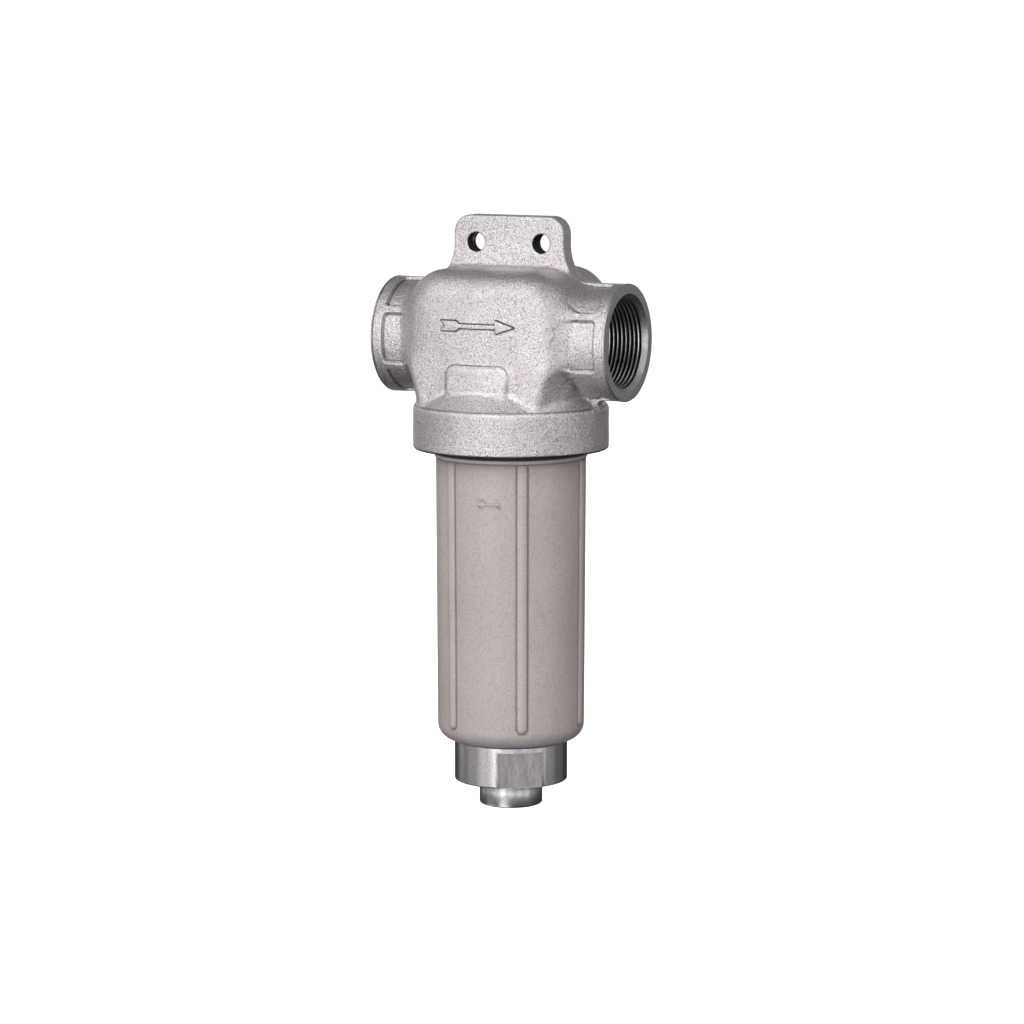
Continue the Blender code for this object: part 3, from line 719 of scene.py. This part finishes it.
def build_plug():
    top, low = -232.0, -242.0
    rows = [(0.02, top), (11.0, top), (11.8, top - 0.8), (11.8, low + 0.6), (11.3, low), (8.2, low)]
    hexagon = 6.0 / math.cos(math.radians(30))
    rows += [(7.6, low), (7.15, low + 0.4), (7.15, low + 6.5), (0.02, low + 7.6)]
    columns = np.arange(96) / 96 * TAU
    index = np.arange(len(rows))[:, None]

    def shape(radius, height, angle):
        near = np.mod(angle, TAU / 6) - TAU / 12
        flat = 6.0 / np.cos(near)
        cut = (index == 7) | (index == 8)
        return np.where(cut, np.minimum(flat, hexagon), radius)

    ob = turned("drain_plug_body", rows, columns, shape, loop=False)
    bm = bmesh.new()
    bm.from_mesh(ob.data)
    bmesh.ops.holes_fill(bm, edges=[e for e in bm.edges if e.is_boundary], sides=0)
    bm.to_mesh(ob.data)
    bm.free()
    return clean(ob, 0.000001, 30)


# ------------------------------------------------------------------- materials


class Nodes:
    """Short way to write a node tree."""

    def __init__(self, name):
        self.mat = bpy.data.materials.new(name)
        self.mat.use_nodes = True
        self.tree = self.mat.node_tree
        self.shader = self.tree.nodes["Principled BSDF"]
        self.coords = self.tree.nodes.new("ShaderNodeTexCoord").outputs["Object"]

    def link(self, source, target):
        self.tree.links.new(source, target)

    def node(self, kind, **inputs):
        node = self.tree.nodes.new(kind)
        for key, value in inputs.items():
            socket = node.inputs[key.replace("_", " ")]
            if hasattr(value, "is_output") or hasattr(value, "links"):
                self.link(value, socket)
            else:
                socket.default_value = value
        return node

    def noise(self, scale, detail=2.0, rough=0.5, stretch=None, distortion=0.0):
        vector = self.coords
        if stretch:
            m = self.tree.nodes.new("ShaderNodeMapping")
            m.inputs["Scale"].default_value = stretch
            self.link(self.coords, m.inputs["Vector"])
            vector = m.outputs["Vector"]
        node = self.node("ShaderNodeTexNoise", Scale=scale, Detail=detail, Roughness=rough, Distortion=distortion)
        self.link(vector, node.inputs["Vector"])
        return node.outputs["Fac"]

    def ramp(self, value, stops):
        node = self.tree.nodes.new("ShaderNodeValToRGB")
        elements = node.color_ramp.elements
        while len(elements) < len(stops):
            elements.new(0.5)
        for element, (at, colour) in zip(elements, stops):
            element.position = at
            element.color = (*colour, 1.0) if len(colour) == 3 else colour
        self.link(value, node.inputs["Fac"])
        return node.outputs["Color"]

    def spread(self, value, low, high, out_low, out_high):
        node = self.tree.nodes.new("ShaderNodeMapRange")
        self.link(value, node.inputs["Value"])
        for key, v in (("From Min", low), ("From Max", high), ("To Min", out_low), ("To Max", out_high)):
            node.inputs[key].default_value = v
        return node.outputs["Result"]

    def mix(self, factor, a, b, blend="MIX"):
        node = self.tree.nodes.new("ShaderNodeMix")
        node.data_type = "RGBA"
        node.blend_type = blend
        for socket, value in ((node.inputs["Factor"], factor), (node.inputs[6], a), (node.inputs[7], b)):
            if hasattr(value, "links"):
                self.link(value, socket)
            else:
                socket.default_value = value
        return node.outputs[2]

    def bump(self, height, strength, distance, normal=None):
        node = self.node("ShaderNodeBump", Strength=strength, Distance=distance)
        self.link(height, node.inputs["Height"])
        if normal is not None:
            self.link(normal, node.inputs["Normal"])
        return node.outputs["Normal"]

    def attribute(self, name):
        node = self.tree.nodes.new("ShaderNodeAttribute")
        node.attribute_name = name
        return node.outputs["Fac"]

    def set(self, **inputs):
        for key, value in inputs.items():
            socket = self.shader.inputs[key.replace("_", " ")]
            if hasattr(value, "links"):
                self.link(value, socket)
            else:
                socket.default_value = value
        return self.mat


def rgb(*values):
    return tuple(v for v in values) + (1.0,)


def cast_metal():
    """Shot-blasted cast aluminium: sparkling fine grain, painted shade in corners, painted highlight on edges."""
    n = Nodes("cast_aluminium_blasted")
    broad = n.noise(26.0, 3.0, 0.55)
    patch = n.noise(80.0, 4.0, 0.6)
    grain = n.noise(1350.0, 2.0, 0.65)
    sparkle = n.noise(1900.0, 1.0, 0.5)
    pits = n.noise(560.0, 3.0, 0.6)
    base = n.ramp(broad, [(0.32, (0.71, 0.66, 0.675)), (0.62, (0.81, 0.77, 0.785))])
    base = n.mix(n.spread(patch, 0.45, 0.75, 0.0, 0.35), base, rgb(0.68, 0.61, 0.60))
    base = n.mix(n.spread(grain, 0.51, 0.33, 0.0, 0.78), base, rgb(0.27, 0.25, 0.255))
    base = n.mix(n.spread(sparkle, 0.52, 0.68, 0.0, 0.75), base, rgb(1.0, 0.985, 0.99))
    # painted shade in corners and holes
    base = n.mix(n.spread(n.attribute("hollow"), 0.30, 1.0, 0.0, 0.97), base, rgb(0.03, 0.028, 0.028))
    # painted highlight on edges
    base = n.mix(n.spread(n.attribute("edge"), 0.30, 0.85, 0.0, 0.75), base, rgb(0.96, 0.945, 0.955))
    rough = n.spread(grain, 0.3, 0.7, 0.54, 0.36)
    normal = n.bump(patch, 0.35, 0.0009)
    normal = n.bump(pits, 0.70, 0.00045, normal)
    normal = n.bump(grain, 1.0, 0.00040, normal)
    return n.set(Base_Color=base, Roughness=rough, Normal=normal, Metallic=1.0)


def threaded_metal():
    """Cut thread and machined rim of the ports: painted highlight on the crests, painted shade in the roots."""
    n = Nodes("cast_aluminium_machined")
    blotch = n.noise(140.0, 3.0, 0.6)
    fine = n.noise(1300.0, 2.0, 0.6)
    base = n.mix(n.spread(blotch, 0.4, 0.7, 0.0, 0.5), rgb(0.66, 0.63, 0.64), rgb(0.54, 0.515, 0.52))
    base = n.mix(n.spread(fine, 0.5, 0.34, 0.0, 0.6), base, rgb(0.34, 0.325, 0.325))
    # painted shade in the roots and down the bore
    base = n.mix(n.spread(n.attribute("hollow"), 0.0, 0.75, 0.0, 0.97), base, rgb(0.018, 0.017, 0.017))
    # painted highlight on the crests
    base = n.mix(n.spread(n.attribute("edge"), 0.2, 0.9, 0.0, 0.9), base, rgb(0.95, 0.94, 0.95))
    rough = n.mix(n.attribute("edge"), n.spread(fine, 0.3, 0.7, 0.50, 0.36), rgb(0.26, 0.26, 0.26))
    normal = n.bump(blotch, 0.2, 0.0004)
    normal = n.bump(fine, 0.6, 0.00018, normal)
    return n.set(Base_Color=base, Roughness=rough, Normal=normal, Metallic=1.0)


def machined_metal(name, colour, rough=0.3, streak=(1.0, 1.0, 30.0), scale=900.0, depth=0.00006, around=None):
    n = Nodes(name)
    lines = n.noise(scale, 3.0, 0.6, stretch=streak)
    blotch = n.noise(60.0, 3.0, 0.55)
    fine = n.noise(1800.0, 2.0, 0.6)
    base = n.mix(n.spread(blotch, 0.4, 0.7, 0.0, 0.35), rgb(*colour), rgb(*(c * 0.82 for c in colour)))
    base = n.mix(n.spread(lines, 0.35, 0.7, 0.0, 0.45), base, rgb(*(min(1.0, c * 1.18) for c in colour)))
    roughness = n.spread(lines, 0.3, 0.75, rough + 0.10, rough - 0.05)
    normal = n.bump(lines, 0.5, depth)
    normal = n.bump(fine, 0.25, 0.00004, normal)
    return n.set(Base_Color=base, Roughness=roughness, Normal=normal, Metallic=1.0)


def turned_metal():
    """Turned and lightly tumbled metal: fine tool marks round it, grained all over."""
    n = Nodes("turned_steel_cap")
    rings = n.noise(900.0, 2.0, 0.6, stretch=(0.12, 0.12, 1.6))
    grain = n.noise(1300.0, 2.0, 0.6)
    blotch = n.noise(90.0, 3.0, 0.6)
    scuff = n.noise(420.0, 3.0, 0.6, stretch=(1.0, 1.0, 0.22))
    base = n.mix(n.spread(blotch, 0.4, 0.7, 0.0, 0.4), rgb(0.70, 0.675, 0.69), rgb(0.60, 0.575, 0.585))
    base = n.mix(n.spread(scuff, 0.50, 0.72, 0.0, 0.35), base, rgb(0.86, 0.84, 0.86))
    base = n.mix(n.spread(grain, 0.5, 0.34, 0.0, 0.45), base, rgb(0.36, 0.34, 0.345))
    ground = n.mix(n.spread(scuff, 0.35, 0.7, 0.0, 1.0), rgb(0.42, 0.40, 0.40), rgb(0.60, 0.575, 0.58))
    ground = n.mix(n.spread(grain, 0.5, 0.34, 0.0, 0.45), ground, rgb(0.26, 0.25, 0.25))
    base = n.mix(n.attribute("hollow"), base, ground)
    # the stub painted lighter: a painted highlight
    base = n.mix(n.attribute("edge"), base, n.mix(n.spread(grain, 0.55, 0.38, 0.0, 0.4), rgb(0.97, 0.95, 0.97), rgb(0.62, 0.60, 0.61)))
    rough = n.spread(n.attribute("hollow"), 0.0, 1.0, 0.30, 0.48)
    normal = n.bump(rings, 0.35, 0.00006)
    normal = n.bump(grain, 0.45, 0.00010, normal)
    return n.set(Base_Color=base, Roughness=rough, Normal=normal, Metallic=1.0)


def moulded():
    """Matte glass-filled polymer, finely mottled, with a painted highlight, a little lighter, along raised edges and
    painted shade in creases.
    """
    n = Nodes("moulded_polymer_matte")
    broad = n.noise(20.0, 3.0, 0.5)
    speck = n.noise(1100.0, 2.0, 0.6)
    mottle = n.noise(260.0, 3.0, 0.6)
    flow = n.noise(55.0, 4.0, 0.6, stretch=(1.0, 1.0, 0.2))
    base = n.ramp(broad, [(0.3, (0.500, 0.446, 0.430)), (0.7, (0.562, 0.505, 0.490))])
    base = n.mix(n.spread(flow, 0.45, 0.75, 0.0, 0.35), base, rgb(0.600, 0.540, 0.522))
    base = n.mix(n.spread(mottle, 0.5, 0.7, 0.0, 0.22), base, rgb(0.37, 0.325, 0.305))
    base = n.mix(n.spread(speck, 0.48, 0.34, 0.0, 0.32), base, rgb(0.255, 0.22, 0.207))
    base = n.mix(n.spread(speck, 0.54, 0.70, 0.0, 0.30), base, rgb(0.68, 0.62, 0.60))
    # painted shade by the ribs, round the arrow and under the ring
    base = n.mix(n.attribute("hollow"), base, rgb(0.022, 0.018, 0.017))
    # painted highlight on the ribs' crowns
    base = n.mix(n.attribute("edge"), base, rgb(0.66, 0.60, 0.58))
    rough = n.mix(n.attribute("hollow"), n.spread(speck, 0.3, 0.7, 0.50, 0.38), rgb(1.0, 1.0, 1.0))
    normal = n.bump(flow, 0.12, 0.0006)
    normal = n.bump(speck, 0.5, 0.00010, normal)
    return n.set(Base_Color=base, Roughness=rough, Normal=normal, Metallic=0.0, Specular_IOR_Level=1.0)


def rubber():
    n = Nodes("rubber_black")
    fine = n.noise(1400.0, 3.0, 0.6)
    base = n.ramp(fine, [(0.35, (0.012, 0.012, 0.012)), (0.75, (0.035, 0.034, 0.033))])
    return n.set(Base_Color=base, Roughness=n.spread(fine, 0.3, 0.7, 0.85, 0.65), Normal=n.bump(fine, 0.4, 0.00006))


def dark_moulding():
    n = Nodes("cage_polymer_dark")
    fine = n.noise(1100.0, 3.0, 0.6)
    base = n.ramp(fine, [(0.35, (0.05, 0.05, 0.055)), (0.75, (0.10, 0.10, 0.105))])
    return n.set(Base_Color=base, Roughness=n.spread(fine, 0.3, 0.7, 0.62, 0.48), Normal=n.bump(fine, 0.3, 0.00005))


def woven_wire():
    """Wire mesh on an upright sleeve: bars round it and along it."""
    n = Nodes("woven_steel_wire")
    split = n.node("ShaderNodeSeparateXYZ")
    n.link(n.coords, split.inputs[0])
    turn = n.tree.nodes.new("ShaderNodeMath")
    turn.operation = "ARCTAN2"
    shift = n.tree.nodes.new("ShaderNodeMath")
    shift.operation = "ADD"
    shift.inputs[1].default_value = 0.0067
    n.link(split.outputs["Y"], shift.inputs[0])
    n.link(shift.outputs[0], turn.inputs[0])
    n.link(split.outputs["X"], turn.inputs[1])
    waves = []
    for source, scale in ((turn.outputs[0], 180.0), (split.outputs["Z"], 6100.0)):
        m = n.tree.nodes.new("ShaderNodeMath")
        m.operation = "MULTIPLY"
        m.inputs[1].default_value = scale
        n.link(source, m.inputs[0])
        s = n.tree.nodes.new("ShaderNodeMath")
        s.operation = "SINE"
        n.link(m.outputs[0], s.inputs[0])
        waves.append(s.outputs[0])
    both = n.tree.nodes.new("ShaderNodeMath")
    both.operation = "MAXIMUM"
    n.link(waves[0], both.inputs[0])
    n.link(waves[1], both.inputs[1])
    wires = n.spread(both.outputs[0], -0.2, 0.8, 0.0, 1.0)
    base = n.mix(wires, rgb(0.05, 0.05, 0.05), rgb(0.62, 0.62, 0.61))
    return n.set(Base_Color=base, Roughness=0.38, Metallic=1.0, Normal=n.bump(wires, 0.8, 0.00015))


CAST = cast_metal()
THREADED = threaded_metal()
TURNED = turned_metal()
STAMPED = machined_metal("pressed_steel", (0.60, 0.60, 0.60), 0.36, (1.0, 1.0, 1.0), 700.0, 0.00004)
PLUG = machined_metal("plug_steel", (0.40, 0.40, 0.41), 0.36, (1.0, 1.0, 8.0), 700.0, 0.00005)
POLYMER = moulded()
RUBBER = rubber()
CAGE = dark_moulding()
WIRE = woven_wire()


def dress(ob, material):
    ob.data.materials.clear()
    ob.data.materials.append(material)


# --------------------------------------------------------------- the assembly

head = build_head()
dress(head, CAST)
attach(head, "head")
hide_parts("head")
for label, side in (("inlet", -1), ("outlet", 1)):
    ring = port_ring(label + "_port_ring", side)
    dress(ring, THREADED)
    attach(ring, "head")
arrow = flow_arrow()
dress(arrow, CAST)
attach(arrow, "head")

bowl = build_bowl()
dress(bowl, POLYMER)
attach(bowl, "bowl")
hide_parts("bowl")
mark = turn_arrow()
dress(mark, POLYMER)
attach(mark, "bowl")

cap = build_cap()
dress(cap, TURNED)
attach(cap, "cap")
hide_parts("drain_cap")
plug = build_plug()
dress(plug, PLUG)
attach(plug, "plug")
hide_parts("drain_plug")

for node, material in {
    "bowl_gasket": RUBBER,
    "screen_top_gasket": RUBBER,
    "screen_foot_pad": RUBBER,
    "drain_cap_gasket": RUBBER,
    "drain_plug_washer": RUBBER,
    "screen_top_ring": STAMPED,
    "screen_bottom_cap": STAMPED,
    "screen_seam_strip": STAMPED,
    "screen_cage": CAGE,
    "screen_mesh": WIRE,
}.items():
    dress(frame["nodes"][node], material)

# --------------------------------------------------------- camera, floor, light

FOCAL_PX, DISTANCE = 3806.8, 1962.8
AZIMUTH, ELEVATION = math.radians(26.073), math.radians(7.767)
target = Vector(world((0.0, 0.0, -90.03)))
back = Vector((math.sin(AZIMUTH) * math.cos(ELEVATION), -math.cos(AZIMUTH) * math.cos(ELEVATION), math.sin(ELEVATION)))
lens = bpy.data.cameras.new("camera")
lens.sensor_width = 36.0
lens.lens = FOCAL_PX / 1024 * 36.0
lens.shift_x = 0.98 / 1024
lens.clip_end = 50.0
camera = bpy.data.objects.new("camera", lens)
camera.location = target + back * DISTANCE * MM
camera.rotation_euler = (math.radians(90) - ELEVATION, 0.0, AZIMUTH)
scene.collection.objects.link(camera)
scene.camera = camera

# the filter hangs on its pipes: the table is low enough for bowl, cap and plug to come down
FLOOR_Z = float(world((0, 0, -242.6 - 44.0))[2])


def backdrop():
    """Pale floor that curves up into a wall behind the object, like a light table."""
    bm = bmesh.new()
    near, far, height, bend = -6.0, 5.0, 6.0, 2.5
    line = [(near, 0.0), (far - bend, 0.0)]
    line += [(far - bend + bend * math.sin(a), bend - bend * math.cos(a)) for a in np.linspace(0, math.pi / 2, 24)[1:]]
    line.append((far, height))
    rows = []
    for d, z in line:
        rows.append([bm.verts.new((x, d, z)) for x in (-9.0, 9.0)])
    for (a, b), (c, d) in zip(rows, rows[1:]):
        bm.faces.new((a, b, d, c))
    mesh = bpy.data.meshes.new("backdrop")
    bm.to_mesh(mesh)
    bm.free()
    ob = bpy.data.objects.new("backdrop", mesh)
    ob.rotation_euler = (0, 0, AZIMUTH)
    ob.location = (0, 0, FLOOR_Z)
    scene.collection.objects.link(ob)
    mesh.shade_smooth()
    mat = bpy.data.materials.new("backdrop_white")
    mat.use_nodes = True
    tree = mat.node_tree
    shader = tree.nodes["Principled BSDF"]
    shader.inputs["Base Color"].default_value = (0.85, 0.85, 0.85, 1)
    shader.inputs["Roughness"].default_value = 0.9
    shader.inputs["Emission Color"].default_value = (1, 1, 1, 1)
    place = tree.nodes.new("ShaderNodeTexCoord")
    reach = tree.nodes.new("ShaderNodeVectorMath")
    reach.operation = "LENGTH"
    glow = tree.nodes.new("ShaderNodeMapRange")
    for key, value in (("From Min", 0.15), ("From Max", 0.9), ("To Min", 0.95), ("To Max", 1.0)):
        glow.inputs[key].default_value = value
    tree.links.new(place.outputs["Object"], reach.inputs[0])
    tree.links.new(reach.outputs["Value"], glow.inputs["Value"])
    tree.links.new(glow.outputs["Result"], shader.inputs["Emission Strength"])
    side = tree.nodes.new("ShaderNodeNewGeometry")
    clear = tree.nodes.new("ShaderNodeBsdfTransparent")
    mix = tree.nodes.new("ShaderNodeMixShader")
    tree.links.new(side.outputs["Backfacing"], mix.inputs["Fac"])
    tree.links.new(shader.outputs["BSDF"], mix.inputs[1])
    tree.links.new(clear.outputs["BSDF"], mix.inputs[2])
    tree.links.new(mix.outputs["Shader"], tree.nodes["Material Output"].inputs["Surface"])
    mesh.materials.append(mat)
    # the table neither lights the object nor stands in the way of the lamps under it
    ob.visible_diffuse = ob.visible_glossy = ob.visible_shadow = False
    return ob


floor = backdrop()

# soft round lamps round the object: degrees right of the camera, degrees up, watts
LAMPS = [
    (-45, 42, 13.4), (0, 42, 10.4), (45, 42, 5.0), (-90, 42, 6.0), (90, 42, 2.8), (140, 42, 1.8), (180, 42, 1.6), (-145, 38, 1.8),
    (0, 0, 8.0), (-30, 0, 13.6), (-60, 0, 6.8), (-90, 0, 3.4), (-120, 0, 3.2), (30, 0, 7.2), (60, 0, 7.4), (90, 0, 2.6), (120, 0, 1.2),
    (180, 0, 6.5), (155, 8, 2.0), (-155, 8, 3.0), (0, 85, 0.6),
    (-30, -42, 5.6), (-90, -42, 2.4), (180, -30, 2.0),
]
middle = Vector(world((0, 0, -90)))
for number, (right, up, watts) in enumerate(LAMPS):
    lamp = bpy.data.lights.new(f"lamp_{number}", "AREA")
    lamp.shape = "DISK"
    lamp.size = 1.3
    lamp.energy = watts
    a, e = math.radians(right) + AZIMUTH, math.radians(up)
    away = Vector((math.sin(a) * math.cos(e), -math.cos(a) * math.cos(e), math.sin(e)))
    ob = bpy.data.objects.new(lamp.name, lamp)
    ob.location = middle + away * 2.4
    ob.rotation_euler = away.to_track_quat("Z", "Y").to_euler()
    ob.visible_camera = False
    scene.collection.objects.link(ob)

studio = bpy.data.worlds.new("studio")
scene.world = studio
studio.use_nodes = True
tree = studio.node_tree
path = tree.nodes.new("ShaderNodeLightPath")
level = tree.nodes.new("ShaderNodeMapRange")
level.inputs["To Min"].default_value = 0.03
level.inputs["To Max"].default_value = 1.0
tree.links.new(path.outputs["Is Camera Ray"], level.inputs["Value"])
tree.links.new(level.outputs["Result"], tree.nodes["Background"].inputs["Strength"])
tree.nodes["Background"].inputs["Color"].default_value = (1.0, 1.0, 1.0, 1.0)

scene.view_settings.view_transform = "Standard"
scene.view_settings.gamma = 0.88
